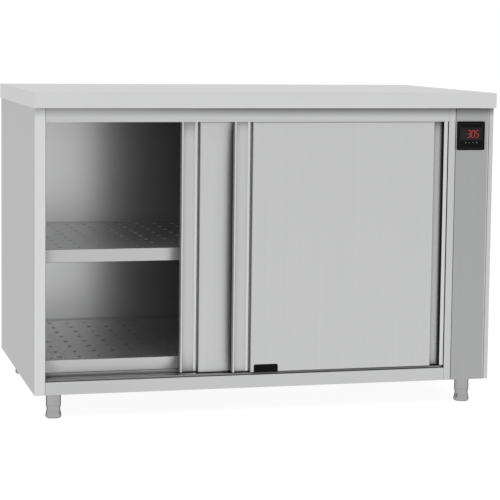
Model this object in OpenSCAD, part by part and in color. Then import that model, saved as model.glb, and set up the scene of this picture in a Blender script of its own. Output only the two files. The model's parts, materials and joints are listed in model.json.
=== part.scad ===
// Hot cupboard with two sliding doors, two perforated shelves and a panel thermostat.
// Origin on the floor under the middle of the worktop, X to the right, Y to the back, Z up.

/* [Worktop] */
// Width of the worktop
top_w = 1200; // [1150:10:1500]
// Depth of the worktop
top_d = 700; // [650:10:800]
// Height of the worktop's apron
top_h = 40; // [30:1:60]
// Sheet thickness of the worktop
top_t = 1.5; // [1:0.1:2]
// Outside radius of the bend at the front top edge
top_bend = 3; // [2:0.5:6]
// Width of the return under the apron
top_return = 16; // [13:1:30]
// Overhang of the worktop past the front of the body
overhang_front = 12; // [9:1:15]
// Overhang of the worktop past each side of the body
overhang_side = 2; // [1:0.5:5]
// Overhang of the worktop past the back of the body
overhang_back = 8; // [4:1:14]

/* [Carcass] */
// Height of the body from its underside to the worktop
body_h = 710; // [650:5:800]
// Sheet thickness of the carcass
sheet = 1.2; // [1:0.1:1.5]
// Width of the left post's front
post_w = 27; // [20:1:40]
// Depth of the folds behind the posts
post_return = 22; // [16:1:26]
// Height of the top rail
rail_top_h = 34; // [32:1:45]
// Height of the bottom rail
rail_bottom_h = 33; // [30:1:45]
// Width of the strip between the chamber and the control column
inner_post_w = 19; // [14:1:30]
// Width of the front of the control column
control_w = 92; // [88:1:130]
// Width of the right side panel's front flange
right_flange_w = 12; // [8:1:20]
// Width of the folds that join the sheets
seam_w = 20; // [16:1:30]
// Insulated space between the back panel and the inner back wall
back_cavity = 15; // [10:1:30]
// Gap beside the control panel cover
cover_gap = 4; // [2:0.5:6]
// Depth of the strip that closes the gap beside the cover
cover_sink = 3; // [2.5:0.1:6]
// Outside radius of the folds that show
sheet_bend = 2; // [1.5:0.1:2.4]
// Play between fitted sheets
seam_play = 0.5; // [0.2:0.1:0.8]

/* [Doors] */
// Thickness of a door
door_t = 19; // [17:0.5:22]
// Sheet thickness of a door
door_sheet = 1; // [0.8:0.1:1.2]
// Set-back of the front door behind the posts' faces
door_setback = 2; // [1.8:0.1:4]
// Gap between the two doors
door_gap = 3; // [2:0.5:5]
// Overlap of the two doors when both are closed
door_overlap = 91; // [70:1:140]
// Gap between a closed door's edge and the wall beside it
door_end_gap = 1.5; // [1:0.1:3]
// Width of the lip outside a door's left grip channel
lip_left = 4; // [3.5:0.5:8]
// Width of the lip outside a door's right grip channel
lip_right = 9.5; // [4:0.5:12]
// Width of a door's left grip channel
channel_left = 41; // [30:1:50]
// Width of a door's right grip channel
channel_right = 27.5; // [24:0.5:50]
// Depth of a grip channel
channel_d = 15; // [12:0.5:16]
// Outside radius of the bends on a door's face
door_bend = 1.6; // [0.8:0.1:1.9]
// Distance that the rear door stands open
door_open = 345; // [100:5:420]
// Width of a guide shoe
shoe_w = 64; // [40:1:90]
// Height of the notch that a guide shoe fills
shoe_h = 19; // [12:1:25]
// Distance from the panel's edge to the guide shoe
shoe_inset = 10; // [6:1:30]

/* [Door running gear] */
// Radius of a roller's tread
roller_r = 9; // [7:0.5:9.5]
// Width of a roller
roller_w = 6; // [5:0.5:6.5]
// Radius of a roller's axle
axle_r = 2.5; // [2:0.1:3]
// Thickness of the upper track's webs and flanges
track_t = 1.5; // [1.2:0.1:2]
// Width of the upper track's flanges
track_w = 20; // [19:0.5:20.5]
// Length of a hanger along the door
hanger_l = 30; // [24:1:50]
// Distance from a door's edge to the nearer hanger
hanger_inset = 90; // [70:5:140]
// Thickness of the lower guide strip
guide_t = 5; // [4:0.5:6]
// Width of a groove in the lower guide strip
groove_w = 4; // [3.5:0.1:5]

/* [Shelves] */
// Height of the middle shelf above the cabinet floor
middle_shelf_h = 324; // [260:5:420]
// Gap between the bottom shelf's lip and the cabinet floor
bottom_gap = 13; // [12:0.5:30]
// Height of a shelf's folded lip
shelf_lip = 33; // [25:1:36]
// Depth of the fold under a shelf's front lip
lip_return = 10; // [6:0.5:11]
// Depth of the foot of the strip under the bottom shelf
skirt_foot = 14; // [8:1:30]
// Gap between a shelf and the walls
shelf_gap = 2; // [1:0.5:4]
// Diameter of a shelf perforation
hole_d = 12; // [6:0.5:14]
// Pitch of the perforations across the shelf
hole_pitch_x = 50; // [35:1:80]
// Pitch of the perforations along the shelf's depth
hole_pitch_y = 73.5; // [40:0.5:90]
// Distance from the shelf's front to its first row of holes
hole_front = 42; // [25:1:60]
// Width of a shelf support's ledge
support_w = 20; // [14:1:30]

/* [Thermostat] */
// Side of the square bezel
bezel_w = 74; // [72:1:78]
// Distance that the bezel stands out of the cover
bezel_t = 6; // [4:0.5:8]
// Distance from the cover's left edge to the bezel
bezel_inset = 3.2; // [2:0.1:6]
// Width of the bezel's raised rim
bezel_rim = 5; // [3:0.5:6]
// Side of the square housing behind the bezel
housing_w = 67; // [60:1:68]
// Depth of the housing behind the cover
housing_d = 60; // [40:1:90]
// Width of the display window
window_w = 60; // [50:1:62]
// Height of the display window
window_h = 34; // [24:1:36]
// Pitch of the keys
key_pitch = 10; // [9:0.5:12]
// Travel of a key
key_travel = 0.8; // [0.5:0.1:1]

/* [Heating] */
// Diameter of the heating tube
heater_d = 6.5; // [6:0.5:8]
// Radius of a hairpin's bend
heater_bend = 40; // [25:1:60]
// Distance from the left wall to the hairpins' bends
heater_left_gap = 90; // [40:5:200]

/* [Feet] */
// Height of the body's underside above the floor
foot_h = 65; // [60:1:90]
// Diameter of a foot's sleeve
sleeve_d = 37.5; // [34:0.5:42]
// Diameter of a foot's flared base
foot_d = 40; // [36:1:44]
// Diameter of a foot's neck
neck_d = 34; // [30:1:36]
// Diameter of a foot's stem
stem_d = 24; // [16:1:26]
// Height of the adjustable part that shows at rest
foot_show = 33; // [28:1:40]
// Distance from the body's sides to the feet
foot_inset_x = 54; // [50:1:90]
// Distance from the body's front and back to the feet
foot_inset_y = 47; // [47:1:90]

/* [Hidden] */
$fn = 48;

// Running clearance of shafts, free clearance of moving pieces, overshoot of cuts
run_gap = 0.05;
free_gap = 0.3;
cut = 1;

// Quarter turns that point a bend into its sheet
RIGHT_BACK = 0;
LEFT_BACK = 90;
BACK_UP = 0;
BACK_DOWN = 270;

// Body box
body_x0 = -top_w / 2 + overhang_side;
body_x1 = top_w / 2 - overhang_side;
body_y0 = -top_d / 2 + overhang_front;
body_y1 = top_d / 2 - overhang_back;
body_z0 = foot_h;
body_z1 = foot_h + body_h;
total_h = body_z1 + top_h;
face_y = body_y0 + sheet;
back_y = body_y1 - sheet;

// Chamber and control column
chamber_x0 = body_x0 + post_w;
column_x1 = body_x1 - right_flange_w;
column_x0 = column_x1 - control_w;
chamber_x1 = column_x0 - inner_post_w;
chamber_y1 = back_y - back_cavity;
floor_z = body_z0 + rail_bottom_h;
roof_z = body_z1 - sheet;
lintel_z = body_z1 - rail_top_h;
fold_clear = 2;
column_floor_y = body_y0 + post_return + fold_clear;

// Doors
door_w = (chamber_x1 - chamber_x0 - 2 * door_end_gap + door_overlap) / 2;
front_door_x = chamber_x1 - door_end_gap - door_w;
rear_door_x = chamber_x0 + door_end_gap + door_open;
front_door_y = body_y0 + door_setback;
rear_door_y = front_door_y + door_t + door_gap;
doors_back_y = rear_door_y + door_t;
grip_left = lip_left + channel_left;
grip_right = lip_right + channel_right;
shoe_seat = 2;
door_z0 = floor_z + guide_t + shoe_seat;
shoe_d = 14;
shoe_recess = 0.4;
shoe_corner = 5;
track_clear = 2;
roller_room = 3;
tread_z = roof_z - 2 * track_t - 2 * roller_r - roller_room;
door_z1 = tread_z - track_clear;
door_h = door_z1 - door_z0;
track_y = front_door_y + door_t + door_gap / 2;
tongue_w = groove_w - 1;
groove_floor = 1;
tongue_drop = guide_t - groove_floor - 2 * free_gap;
guide_inset = 3;
bumper_r = 5;
bumper_end = 45;

// Hanger: plate beside the track's flange, roller between plate and web
hanger_x = [hanger_inset, door_w - hanger_inset];
hanger_t = 2;
hanger_gap = 0.8;
hanger_foot = 6.5;
plate_off = track_w / 2 + hanger_gap;
web_clear = 1.2;
roller_off = track_t / 2 + web_clear;
roller_z = tread_z + track_t + free_gap + roller_r;
axle_head_t = 0.5;
axle_head_r = axle_r + 1.1;
axle_collar_r = axle_r + 1.5;

// Shelves
shelf_x0 = chamber_x0 + shelf_gap;
shelf_x1 = chamber_x1 - shelf_gap;
shelf_clear = 3;
middle_shelf_z = floor_z + middle_shelf_h;
bottom_shelf_z = floor_z + bottom_gap + shelf_lip;
shelf_y0 = doors_back_y + shelf_clear;
shelf_y1 = chamber_y1 - shelf_gap;
fold_top = 8;
weld_seam = 0.1;
support_t = 1.5;
support_set = 12;

// Thermostat
cover_x0 = column_x0 + seam_play;
cover_x1 = column_x1 - cover_gap;
cover_return = 14;
bezel_x = cover_x0 + bezel_inset + bezel_w / 2;
bezel_z = lintel_z - bezel_w / 2;
bezel_y = body_y0 - bezel_t;
bezel_corner = 3;
bezel_recess = 1;
panel_y = bezel_y + bezel_recess;
window_corner = 1.5;
window_up = 5;
window_t = 1.5;
window_sink = 0.4;
window_y = panel_y + window_sink;
digit_inset = 3;
key_drop = 17.5;
key_count = 4;
key_x = [for (i = [0:key_count - 1]) bezel_x + (i - (key_count - 1) / 2) * key_pitch];
key_z = bezel_z - key_drop;
key_w = 6.4;
key_h = 5.4;
key_corner = 0.8;
key_proud = 0.6;
key_flange_t = 1;
key_flange_w = 1;
key_play = 0.25;
housing_t = 2;
board_t = 1.6;
board_set = 6;
board_y = body_y0 + board_set;
switch_w = 4;
clip_t = 2;
clip_l = 24;
clip_h = 18;

// Heating
heater_z = floor_z + (bottom_gap - support_t) / 2;
heater_y = [-140, 130];
heater_tail = 30;
bracket_t = 2;
bracket_top = 9;
bracket_side = 15;
bracket_x = [for (share = [0.2, 0.5, 0.8]) chamber_x0 + heater_left_gap + heater_bend
    + share * (chamber_x1 - chamber_x0 - heater_left_gap - heater_bend)];
heater_legs = [for (y = heater_y) for (side = [-1, 1]) y + side * heater_bend];
nut_h = 7;
nut_r = 6.2;
probe_d = 6;
probe_in = 45;
probe_out = 18;
probe_flange_r = 5;
probe_flange_t = 4;
probe_back = 8;
probe_down = 34;
probe_y = chamber_y1 - probe_back;
probe_z = roof_z - probe_down;

// Electric parts on the mounting plate in the column
plate_t = 2;
plate_y0 = -200;
plate_l = 300;
plate_up = 150;
plate_z0 = floor_z + plate_up;
plate_h = 340;
plate_face = chamber_x1 + sheet + plate_t;
gland_x = (chamber_x1 + body_x1) / 2;
gland_back = 90;
gland_y = back_y - gland_back;
gland_r = 10;
gland_bore = 5.5;
gland_hex = 14;
gland_drop = 20;
gland_nut = 6;
gland_thread = 8;

// Feet
foot_x = [body_x0 + foot_inset_x, body_x1 - foot_inset_x];
foot_y = [body_y0 + foot_inset_y, body_y1 - foot_inset_y];
sleeve_t = 1.5;
collar_h = 12;
foot_plate = 46;
foot_plate_t = 3;
stem_room = 18;
stem_top = floor_z - sheet - stem_room;
toe_in = 3;
toe_z = 2;
flare_z = 5;
neck_z = 23;
shoulder_z = foot_show - free_gap;
flare_steps = 6;
shoulder_steps = 5;
function wave(a, b, t) = a + (b - a) * (1 - cos(180 * t)) / 2;
function foot_arc(d0, d1, z0, z1, i, n) = [wave(d0, d1, i / n) / 2, z0 + (z1 - z0) * i / n];
foot_curve = concat(
    [for (i = [0:flare_steps]) foot_arc(foot_d, neck_d, flare_z, neck_z, i, flare_steps)],
    [for (i = [1:shoulder_steps])
        foot_arc(neck_d, sleeve_d, neck_z, shoulder_z, i, shoulder_steps)]);

// Back panel screws and vents
screw_r = 2;
screw_head_r = 4.5;
screw_head_h = 2.4;
screw_rows = 5;
screw_x = [body_x0 + seam_w / 2, body_x1 - seam_w / 2];
screw_z = [for (i = [0:screw_rows - 1])
    body_z0 + seam_w + i * (body_h - 2 * seam_w) / (screw_rows - 1)];
vent_rows = 8;
vent_h = 4;
vent_pitch = 12;
vent_w = 60;

steel = "silver";
dark_steel = "darkgray";
black = [0.08, 0.08, 0.08];

// Box between two limits on each axis
module box(x, y, z) {
    translate([x[0], y[0], z[0]])
        cube([x[1] - x[0], y[1] - y[0], z[1] - z[0]]);
}

// Cylinder along Y between two depths
module rod_y(x, z, r, y) {
    translate([x, y[0], z]) rotate([-90, 0, 0]) cylinder(r = r, h = y[1] - y[0]);
}

// Cylinder along X between two limits
module rod_x(y, z, r, x) {
    translate([x[0], y, z]) rotate([0, 90, 0]) cylinder(r = r, h = x[1] - x[0]);
}

// Waste outside a rounded fold at the origin, along Z, with the sheet towards +X and +Y
module bend_waste(r, l) {
    difference() {
        translate([-cut, -cut, -cut]) cube([r + cut, r + cut, l + 2 * cut]);
        translate([r, r, -2 * cut]) cylinder(r = r, h = l + 4 * cut);
    }
}

// Waste of an upright fold of the carcass
module upright_bend(x, y, turn) {
    translate([x, y, body_z0]) rotate([0, 0, turn]) bend_waste(sheet_bend, body_h);
}

// Waste of a level fold that runs along X
module level_bend(x, y, z, turn) {
    translate([x[0], y, z]) rotate([90, 0, 90]) rotate([0, 0, turn])
        bend_waste(sheet_bend, x[1] - x[0]);
}

// Rectangle from the origin with its two upper corners rounded
module arch_2d(w, h, r) {
    square([w, h - r]);
    translate([r, 0]) square([w - 2 * r, h]);
    for (x = [r, w - r]) translate([x, h - r]) circle(r);
}

// Rectangle about the origin with all corners rounded
module round_square_2d(w, h, r) {
    square([w - 2 * r, h], center = true);
    square([w, h - 2 * r], center = true);
    for (x = [-1, 1]) for (y = [-1, 1])
        translate([x * (w / 2 - r), y * (h / 2 - r)]) circle(r);
}

// Upright plate with rounded corners, square to Y
module upright_plate(x, z, w, h, r, y) {
    translate([x, y[1], z]) rotate([90, 0, 0])
        linear_extrude(y[1] - y[0]) round_square_2d(w, h, r);
}

// Cross-section of the worktop, front edge at the origin, with both front bends rounded
module worktop_2d(d, h, r) {
    translate([0, r]) square([d, h - 2 * r]);
    translate([r, 0]) square([d - r, h]);
    for (y = [r, h - r]) translate([r, y]) circle(r);
}

module worktop_block(inset, z0, bend) {
    translate([-top_w / 2 + inset, -top_d / 2 + inset, z0]) rotate([90, 0, 90])
        linear_extrude(top_w - 2 * inset)
            worktop_2d(top_d - 2 * inset, total_h - inset - z0, bend);
}

module worktop() {
    color(steel) difference() {
        worktop_block(0, body_z1, top_bend);
        worktop_block(top_t, body_z1 + top_t, top_bend - top_t);
        box([-top_w / 2 + top_return, top_w / 2 - top_return],
            [-top_d / 2 + top_return, top_d / 2 - top_return],
            [body_z1 - cut, body_z1 + top_t + cut]);
    }
}

module worktop_core() {
    color("burlywood") worktop_block(top_t, body_z1 + top_t, top_bend - top_t);
}

module ceiling_liner() {
    color(dark_steel)
        box([chamber_x0, chamber_x1], [doors_back_y, chamber_y1], [roof_z, body_z1]);
}

// Side panel: outer sheet with top, bottom and back seams; side is -1 left, 1 right
module side_sheet(side) {
    outer = side < 0 ? body_x0 : body_x1 - sheet;
    seam = side < 0 ? [body_x0, body_x0 + seam_w] : [body_x1 - seam_w, body_x1];
    under = side < 0 ? [body_x0, chamber_x0] : seam;
    box([outer, outer + sheet], [body_y0, back_y], [body_z0, body_z1]);
    box(under, [face_y, back_y], [body_z0, body_z0 + sheet]);
    box(seam, [face_y, back_y], [roof_z, body_z1]);
    difference() {
        box(seam, [back_y - sheet, back_y], [body_z0, body_z1]);
        back_screw_holes();
    }
}

module side_panel_left() {
    color(steel) difference() {
        union() {
            side_sheet(-1);
            box([body_x0, chamber_x0], [body_y0, face_y], [body_z0, body_z1]);
            box([chamber_x0 - sheet, chamber_x0], [body_y0, body_y0 + post_return],
                [body_z0, body_z1]);
        }
        upright_bend(body_x0, body_y0, RIGHT_BACK);
        upright_bend(chamber_x0, body_y0, LEFT_BACK);
    }
}

module side_panel_right() {
    color(steel) difference() {
        union() {
            side_sheet(1);
            box([column_x1, body_x1], [body_y0, face_y], [body_z0, body_z1]);
            box([column_x1, column_x1 + sheet], [body_y0, body_y0 + post_return],
                [body_z0, body_z1]);
            box([cover_x1 + seam_play, column_x1 + sheet],
                [body_y0 + cover_sink, body_y0 + cover_sink + sheet], [body_z0, body_z1]);
        }
        upright_bend(body_x1, body_y0, LEFT_BACK);
        upright_bend(column_x1, body_y0, RIGHT_BACK);
    }
}

module left_liner() {
    color(dark_steel)
        box([chamber_x0 - sheet, chamber_x0], [body_y0 + post_return, back_y - sheet],
            [body_z0 + sheet, roof_z]);
}

module insulation_left() {
    color("khaki")
        box([body_x0 + sheet, chamber_x0 - sheet], [face_y, back_y - sheet],
            [body_z0 + sheet, roof_z]);
}

module back_screw_holes() {
    for (x = screw_x) for (z = screw_z)
        rod_y(x, z, screw_r + run_gap, [back_y - sheet - cut, body_y1 + cut]);
}

module back_panel() {
    color(steel) difference() {
        box([body_x0, body_x1], [back_y, body_y1], [body_z0, body_z1]);
        back_screw_holes();
        for (i = [0:vent_rows - 1])
            translate([(column_x0 + column_x1 - vent_w) / 2, 0, floor_z + seam_w + i * vent_pitch])
                box([0, vent_w], [back_y - cut, body_y1 + cut], [0, vent_h]);
    }
}

module back_panel_screws() {
    color(steel)
        for (x = screw_x) for (z = screw_z) {
            rod_y(x, z, screw_r, [back_y - sheet, body_y1]);
            rod_y(x, z, screw_head_r, [body_y1, body_y1 + screw_head_h]);
        }
}

module back_liner() {
    color(dark_steel)
        box([chamber_x0, chamber_x1], [chamber_y1, chamber_y1 + sheet], [floor_z, roof_z]);
}

module insulation_back() {
    color("khaki")
        box([chamber_x0, chamber_x1], [chamber_y1 + sheet, back_y], [floor_z, roof_z]);
}

// Cabinet floor with the front fold that shows as the bottom rail
module base_tray() {
    color(steel) difference() {
        union() {
            box([chamber_x0, chamber_x1], [body_y0, back_y], [floor_z - sheet, floor_z]);
            box([chamber_x0, body_x1 - sheet], [column_floor_y, back_y - sheet],
                [floor_z - sheet, floor_z]);
            box([chamber_x0, chamber_x1], [body_y0, face_y], [body_z0, floor_z]);
            box([chamber_x0, chamber_x1], [body_y0, body_y0 + seam_w], [body_z0, body_z0 + sheet]);
            box([chamber_x0, chamber_x1], [back_y - sheet, back_y], [body_z0, floor_z]);
        }
        level_bend([chamber_x0, chamber_x1], body_y0, floor_z, BACK_DOWN);
        level_bend([chamber_x0, chamber_x1], body_y0, body_z0, BACK_UP);
        translate([gland_x, gland_y, floor_z - sheet - cut])
            cylinder(r = gland_r + run_gap, h = sheet + 2 * cut);
    }
}

module top_rail() {
    color(steel) {
        box([chamber_x0, chamber_x1], [body_y0, face_y], [lintel_z, body_z1]);
        box([chamber_x0, chamber_x1], [body_y0, doors_back_y], [roof_z, body_z1]);
    }
}

// Upper track: an upright web with a flange above and the rollers' flange below
module top_track() {
    flange = [track_y - track_w / 2, track_y + track_w / 2];
    x = [chamber_x0 + seam_play, chamber_x1 - seam_play];
    color(dark_steel) {
        box(x, flange, [roof_z - track_t, roof_z]);
        box(x, flange, [tread_z, tread_z + track_t]);
        box(x, [track_y - track_t / 2, track_y + track_t / 2], [tread_z, roof_z]);
    }
}

// Lower strip with one groove under the middle of each door
module guide_strip() {
    x = [chamber_x0 + seam_play, chamber_x1 - seam_play];
    color(dark_steel) difference() {
        box(x, [front_door_y + guide_inset, doors_back_y - guide_inset],
            [floor_z, floor_z + guide_t]);
        for (y = [front_door_y, rear_door_y] + [door_t / 2, door_t / 2])
            box([x[0] - cut, x[1] + cut], [y - groove_w / 2, y + groove_w / 2],
                [floor_z + groove_floor, floor_z + guide_t + cut]);
    }
}

// Right wall of the chamber with the folded strip beside the control column
module partition() {
    color(steel) difference() {
        union() {
            box([chamber_x1, chamber_x1 + sheet], [body_y0, back_y - sheet], [floor_z, roof_z]);
            box([chamber_x1, column_x0], [body_y0, face_y], [body_z0, body_z1]);
            box([column_x0 - sheet, column_x0], [body_y0, body_y0 + post_return],
                [body_z0, body_z1]);
        }
        upright_bend(chamber_x1, body_y0, RIGHT_BACK);
        upright_bend(column_x0, body_y0, LEFT_BACK);
        for (y = heater_legs)
            rod_x(y, heater_z, heater_d / 2 + run_gap, [chamber_x1 - cut, chamber_x1 + sheet + cut]);
        rod_x(probe_y, probe_z, probe_d / 2 + run_gap, [chamber_x1 - cut, chamber_x1 + sheet + cut]);
    }
}

module control_panel() {
    color(steel) difference() {
        union() {
            box([cover_x0, cover_x1], [body_y0, face_y], [body_z0, body_z1]);
            for (x = [cover_x0, cover_x1 - sheet])
                box([x, x + sheet], [body_y0, body_y0 + cover_return],
                    [body_z0 + sheet + seam_play, roof_z - seam_play]);
        }
        upright_bend(cover_x0, body_y0, RIGHT_BACK);
        upright_bend(cover_x1, body_y0, LEFT_BACK);
        box([bezel_x - housing_w / 2 - seam_play, bezel_x + housing_w / 2 + seam_play],
            [body_y0 - cut, face_y + cut],
            [bezel_z - housing_w / 2 - seam_play, bezel_z + housing_w / 2 + seam_play]);
    }
}

// Perforated shelf: a deck plate with a front fold and three lips spot-welded to it at hairline
// seams; z is the top of its deck
module shelf(z) {
    columns = floor((shelf_x1 - shelf_x0 - hole_pitch_x) / hole_pitch_x);
    rows = floor((shelf_y1 - shelf_y0 - hole_front - hole_d) / hole_pitch_y);
    middle = (shelf_x0 + shelf_x1 - columns * hole_pitch_x) / 2;
    low = z - shelf_lip;
    difference() {
        union() {
            box([shelf_x0, shelf_x1], [shelf_y0, shelf_y0 + sheet], [low, z]);
            box([shelf_x0, shelf_x1], [shelf_y0, shelf_y0 + fold_top], [z - sheet, z]);
            box([shelf_x0, shelf_x1], [shelf_y0, shelf_y0 + lip_return], [low, low + sheet]);
        }
        level_bend([shelf_x0, shelf_x1], shelf_y0, z, BACK_DOWN);
        level_bend([shelf_x0, shelf_x1], shelf_y0, low, BACK_UP);
    }
    difference() {
        box([shelf_x0, shelf_x1], [shelf_y0 + fold_top + weld_seam, shelf_y1], [z - sheet, z]);
        for (i = [0:columns]) for (j = [0:rows])
            translate([middle + i * hole_pitch_x, shelf_y0 + hole_front + j * hole_pitch_y,
                z - sheet - cut])
                cylinder(d = hole_d, h = sheet + 2 * cut, $fn = 24);
    }
    for (x = [shelf_x0, shelf_x1 - sheet])
        box([x, x + sheet], [shelf_y0 + lip_return + weld_seam, shelf_y1 - sheet - weld_seam],
            [low, z - sheet - weld_seam]);
    box([shelf_x0, shelf_x1], [shelf_y1 - sheet, shelf_y1], [low, z - sheet - weld_seam]);
}

module middle_shelf() {
    color(dark_steel) shelf(middle_shelf_z);
}

module bottom_shelf() {
    color(dark_steel) shelf(bottom_shelf_z);
}

// Angle on the cabinet floor that closes the space under the bottom shelf's front fold
module shelf_skirt() {
    y = shelf_y0 + lip_return;
    color(dark_steel) {
        box([shelf_x0, shelf_x1], [y - sheet, y], [floor_z, bottom_shelf_z - shelf_lip - seam_play]);
        box([shelf_x0, shelf_x1], [y - sheet, y + skirt_foot], [floor_z, floor_z + sheet]);
    }
}

// Angle on one wall that carries a shelf's lip; z is the top of its ledge
module support_angle(side, z, leg) {
    wall = side < 0 ? chamber_x0 : chamber_x1;
    ledge = side < 0 ? [wall, wall + support_w] : [wall - support_w, wall];
    upright = side < 0 ? [wall, wall + support_t] : [wall - support_t, wall];
    y = [shelf_y0 + support_set, shelf_y1 - support_set];
    box(ledge, y, [z - support_t, z]);
    box(upright, y, [z - leg, z]);
}

// The lower right angle lets the heating tubes through
module shelf_supports() {
    color(dark_steel) difference() {
        for (side = [-1, 1]) {
            support_angle(side, middle_shelf_z - shelf_lip, support_w);
            support_angle(side, bottom_shelf_z - shelf_lip, bottom_gap);
        }
        for (y = heater_legs)
            rod_x(y, heater_z, heater_d / 2 + free_gap, [chamber_x1 - support_w, chamber_x1 + cut]);
    }
}

// Two hairpins of heating tube with their ends in the control column
module heater_element() {
    bend_x = chamber_x0 + heater_left_gap + heater_bend;
    color("dimgray")
        for (y = heater_y) {
            for (side = [-1, 1])
                rod_x(y + side * heater_bend, heater_z, heater_d / 2,
                    [bend_x, chamber_x1 + sheet + heater_tail]);
            translate([bend_x, y, heater_z]) rotate([0, 0, 90])
                rotate_extrude(angle = 180) translate([heater_bend, 0]) circle(d = heater_d);
        }
}

module heater_brackets() {
    color(dark_steel)
        for (x = bracket_x) difference() {
            union() {
                box([x, x + bracket_t],
                    [min(heater_legs) - bracket_side, max(heater_legs) + bracket_side],
                    [floor_z, heater_z + bracket_top]);
                box([x, x + bracket_side],
                    [min(heater_legs) - bracket_side, max(heater_legs) + bracket_side],
                    [floor_z, floor_z + bracket_t]);
            }
            for (y = heater_legs)
                rod_x(y, heater_z, heater_d / 2 + run_gap, [x - cut, x + bracket_t + cut]);
        }
}

module heater_nuts() {
    color("goldenrod")
        for (y = heater_legs)
            translate([chamber_x1 + sheet, y, heater_z]) rotate([0, 90, 0]) difference() {
                rotate([0, 0, 30]) cylinder(r = nut_r, h = nut_h, $fn = 6);
                translate([0, 0, -cut]) cylinder(r = heater_d / 2 + run_gap, h = nut_h + 2 * cut);
            }
}

module temperature_probe() {
    color(steel) {
        rod_x(probe_y, probe_z, probe_d / 2, [chamber_x1 - probe_in, chamber_x1 + sheet + probe_out]);
        rod_x(probe_y, probe_z, probe_flange_r,
            [chamber_x1 + sheet, chamber_x1 + sheet + probe_flange_t]);
    }
}

module controller_bezel() {
    inside = bezel_w - 2 * bezel_rim;
    color(black) difference() {
        upright_plate(bezel_x, bezel_z, bezel_w, bezel_w, bezel_corner, [bezel_y, body_y0]);
        upright_plate(bezel_x, bezel_z, inside, inside, window_corner, [bezel_y - cut, panel_y]);
        upright_plate(bezel_x, bezel_z + window_up, window_w, window_h, window_corner,
            [bezel_y - cut, body_y0 + cut]);
        for (x = key_x)
            upright_plate(x, key_z, key_w + 2 * key_play, key_h + 2 * key_play,
                key_corner + key_play, [bezel_y - cut, body_y0 + cut]);
    }
}

module display_window() {
    color([0.2, 0.02, 0.03])
        upright_plate(bezel_x, bezel_z + window_up, window_w, window_h, window_corner,
            [window_y, window_y + window_t]);
}

module controller_housing() {
    inner = housing_w / 2 - housing_t;
    color(black) difference() {
        box([bezel_x - housing_w / 2, bezel_x + housing_w / 2], [body_y0, body_y0 + housing_d],
            [bezel_z - housing_w / 2, bezel_z + housing_w / 2]);
        box([bezel_x - inner, bezel_x + inner],
            [body_y0 - cut, body_y0 + housing_d - housing_t],
            [bezel_z - inner, bezel_z + inner]);
    }
}

// Circuit board with the digit block behind the window and a switch behind each key
module controller_board() {
    inner = housing_w / 2 - housing_t;
    digit_w = window_w / 2 - digit_inset;
    digit_h = window_h / 2 - digit_inset;
    digit_z = bezel_z + window_up;
    switch_y = body_y0 + key_flange_t + key_travel + 2 * free_gap;
    color("darkgreen") {
        box([bezel_x - inner, bezel_x + inner], [board_y, board_y + board_t],
            [bezel_z - inner, bezel_z + inner]);
        box([bezel_x - digit_w, bezel_x + digit_w], [window_y + window_t + free_gap, board_y],
            [digit_z - digit_h, digit_z + digit_h]);
        for (x = key_x)
            box([x - switch_w / 2, x + switch_w / 2], [switch_y, board_y],
                [key_z - switch_w / 2, key_z + switch_w / 2]);
    }
}

module controller_clips() {
    color(black)
        for (side = [-1, 1])
            translate([bezel_x + side * (housing_w + clip_t) / 2, 0, 0])
                box([-clip_t / 2, clip_t / 2], [face_y, face_y + clip_l],
                    [bezel_z - clip_h / 2, bezel_z + clip_h / 2]);
}

// Key cap with the flange that keeps it behind the bezel
module key(i) {
    flange_y = body_y0 + free_gap;
    color([0.16, 0.16, 0.16]) {
        upright_plate(key_x[i], key_z, key_w, key_h, key_corner, [panel_y - key_proud, flange_y]);
        upright_plate(key_x[i], key_z, key_w + 2 * key_flange_w, key_h + 2 * key_flange_w,
            key_corner, [flange_y, flange_y + key_flange_t]);
    }
}

module mounting_plate() {
    color(dark_steel)
        box([plate_face - plate_t, plate_face], [plate_y0, plate_y0 + plate_l],
            [plate_z0, plate_z0 + plate_h]);
}

// Row of terminal clamps, each with its screw well and wire entry
module terminal_block() {
    poles = 6;
    pole_w = 12;
    depth = 22;
    height = 26;
    well_r = 3;
    well_d = 9;
    entry = 6;
    y0 = plate_y0 + 30;
    z0 = plate_z0 + 40;
    front = plate_face + depth;
    color("ivory") difference() {
        box([plate_face, front], [y0, y0 + poles * pole_w], [z0, z0 + height]);
        for (i = [0:poles - 1]) {
            y = y0 + (i + 0.5) * pole_w;
            rod_x(y, z0 + height / 2, well_r, [front - well_d, front + cut]);
            box([plate_face + entry, plate_face + 2 * entry], [y - entry / 2, y + entry / 2],
                [z0 - cut, z0 + entry]);
        }
    }
}

// Over-temperature cut-out: square base, round switch and reset button
module safety_cutout() {
    base = [32, 14];
    switch = [12, 26];
    button = [4, 31];
    y = plate_y0 + 200;
    z = plate_z0 + 60;
    color("saddlebrown") {
        box([plate_face, plate_face + base[1]], [y - base[0] / 2, y + base[0] / 2],
            [z - base[0] / 2, z + base[0] / 2]);
        rod_x(y, z, switch[0], [plate_face + base[1], plate_face + switch[1]]);
        rod_x(y, z, button[0], [plate_face + switch[1], plate_face + button[1]]);
    }
}

// Power relay on its wider base
module power_relay() {
    base = [8, 64, 44];
    case = [42, 44, 38];
    y = plate_y0 + 60;
    z = plate_z0 + 180;
    color("gainsboro") {
        box([plate_face, plate_face + base[0]], [y - base[1] / 2, y + base[1] / 2],
            [z - base[2] / 2, z + base[2] / 2]);
        box([plate_face + base[0], plate_face + base[0] + case[0]],
            [y - case[1] / 2, y + case[1] / 2], [z - case[2] / 2, z + case[2] / 2]);
    }
}

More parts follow.
